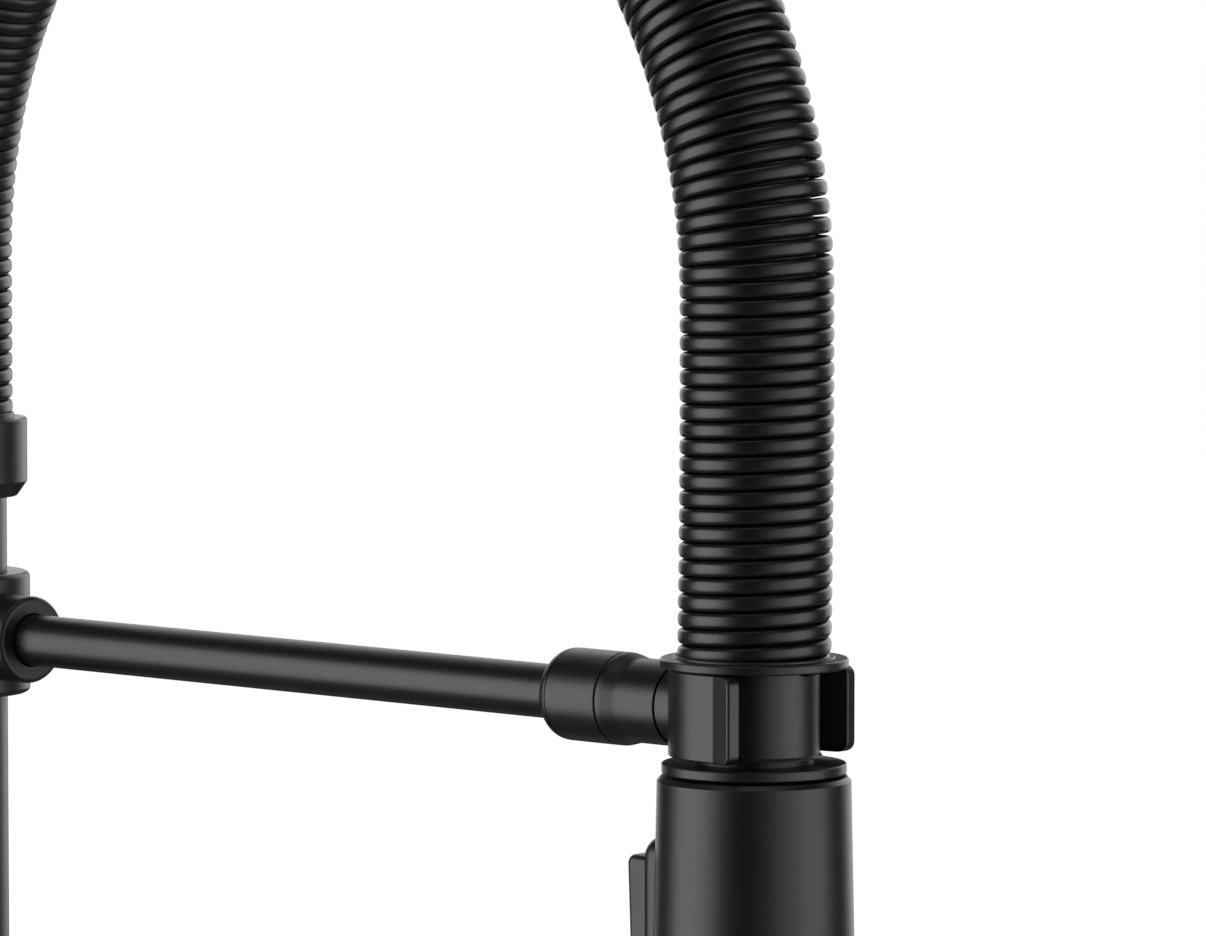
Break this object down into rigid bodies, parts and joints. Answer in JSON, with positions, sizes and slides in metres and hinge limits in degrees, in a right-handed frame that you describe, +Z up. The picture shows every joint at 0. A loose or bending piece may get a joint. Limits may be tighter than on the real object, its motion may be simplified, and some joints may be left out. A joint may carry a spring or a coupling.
{
  "type": "kitchen faucet",
  "caption": "Pull-down kitchen faucet with a spring-wrapped arched spout, a dock arm with an open clip, a side lever and a two-mode spray head.",
  "frame": {"origin": "deck level, centre of the base flange's underside", "axes": "+Z up, the spout reaches towards -Y, the lever is on the +X side"},
  "size_m": [0.0884, 0.2636, 0.5583],
  "materials": {
    "painted_black": "satin",
    "black_plastic": "satin",
    "brass": "satin",
    "steel": "satin",
    "black_rubber": "matte",
    "ceramic": "polished",
    "white_plastic": "satin",
    "grey_silicone": "matte",
    "hose_braid": "matte"
  },
  "bodies": {
    "faucet_base": {"base_flange": "painted_black", "base_gasket": "black_rubber", "valve_body": "painted_black", "mounting_shank": "brass", "deck_rubber_washer": "black_rubber", "deck_steel_washer": "steel", "mounting_nut": "brass", "nut_clamp_screws": "steel", "cartridge_seals": "black_rubber", "cartridge_housing": "white_plastic", "fixed_ceramic_disc": "ceramic", "cartridge_retaining_nut": "brass", "cartridge_bonnet": "painted_black", "swivel_spigot": "brass", "spigot_o_rings": "black_rubber", "swivel_glide_ring": "white_plastic"},
    "cartridge_rotor": {"stem_guide": "white_plastic", "stem_pin": "steel"},
    "ceramic_slider": {"disc_carrier": "white_plastic", "moving_ceramic_disc": "ceramic"},
    "lever_handle": {"cartridge_stem": "brass", "handle_hub": "painted_black", "lever_rod": "painted_black", "handle_set_screw": "steel", "handle_screw_plug": "black_plastic"},
    "spout": {"riser_socket": "painted_black", "riser_lock_screw": "steel", "riser_tube": "painted_black", "arm_collar": "painted_black", "arm_collar_screw": "steel", "arm_rod": "painted_black", "arm_gland": "painted_black", "coupling_nut": "painted_black", "clip_shank": "painted_black", "dock_clip": "painted_black", "clip_liner": "black_plastic", "riser_top_collar": "painted_black", "riser_hose_fitting": "brass", "riser_fitting_o_ring": "black_rubber", "riser_hose_ferrule": "steel", "coil_spring": "painted_black", "inner_hose": "hose_braid"},
    "docking_collar": {"docking_collar": "painted_black", "head_hose_ferrule": "steel", "hose_nipple": "brass", "nipple_o_ring": "black_rubber"},
    "spray_head": {"spray_shell": "black_plastic", "spray_core": "white_plastic", "head_swivel_nut": "brass", "inlet_filter": "steel", "check_valve": "white_plastic", "paddle_bezel": "black_plastic", "paddle_pin": "steel", "face_ring": "black_plastic", "spray_plate": "black_plastic", "nozzle_mat": "grey_silicone", "aerator": "white_plastic", "head_screws": "steel"},
    "mode_paddle": {"mode_paddle": "black_plastic"},
    "diverter": {"diverter_spool": "white_plastic"}
  },
  "joints": [
    {"name": "spout_swivel", "type": "hinge", "parent": "faucet_base", "child": "spout", "pos_m": [0, 0, 0.15], "axis": [0, 0, 1], "continuous": true},
    {"name": "temperature_turn", "type": "hinge", "parent": "faucet_base", "child": "cartridge_rotor", "pos_m": [0.0286, 0, 0.088], "axis": [1, 0, 0], "range_deg": [-45, 45]},
    {"name": "flow_tilt", "type": "hinge", "parent": "cartridge_rotor", "child": "lever_handle", "pos_m": [0.0286, 0, 0.088], "axis": [0, 1, 0], "range_deg": [0, 25]},
    {"name": "ceramic_slide", "type": "slide", "parent": "cartridge_rotor", "child": "ceramic_slider", "axis": [0, 0, 1], "range_m": [0, 0.0036]},
    {"name": "head_undock", "type": "slide", "parent": "spout", "child": "docking_collar", "axis": [0, -1, 0], "range_m": [0, 0.045], "deforming": ["coil_spring", "inner_hose"]},
    {"name": "head_swivel", "type": "hinge", "parent": "docking_collar", "child": "spray_head", "pos_m": [0, -0.216, 0.279], "axis": [0, 0, 1], "continuous": true},
    {"name": "paddle_rock", "type": "hinge", "parent": "spray_head", "child": "mode_paddle", "pos_m": [0, -0.1994, 0.254], "axis": [1, 0, 0], "range_deg": [0, 6]},
    {"name": "diverter_slide", "type": "slide", "parent": "spray_head", "child": "diverter", "axis": [0, 1, 0], "range_m": [0, 0.0016]}
  ],
  "couplings": [
    {"joint": "ceramic_slide", "follows": "flow_tilt", "m_per_rad": 0.00794},
    {"joint": "diverter_slide", "follows": "paddle_rock", "m_per_rad": 0.014}
  ]
}
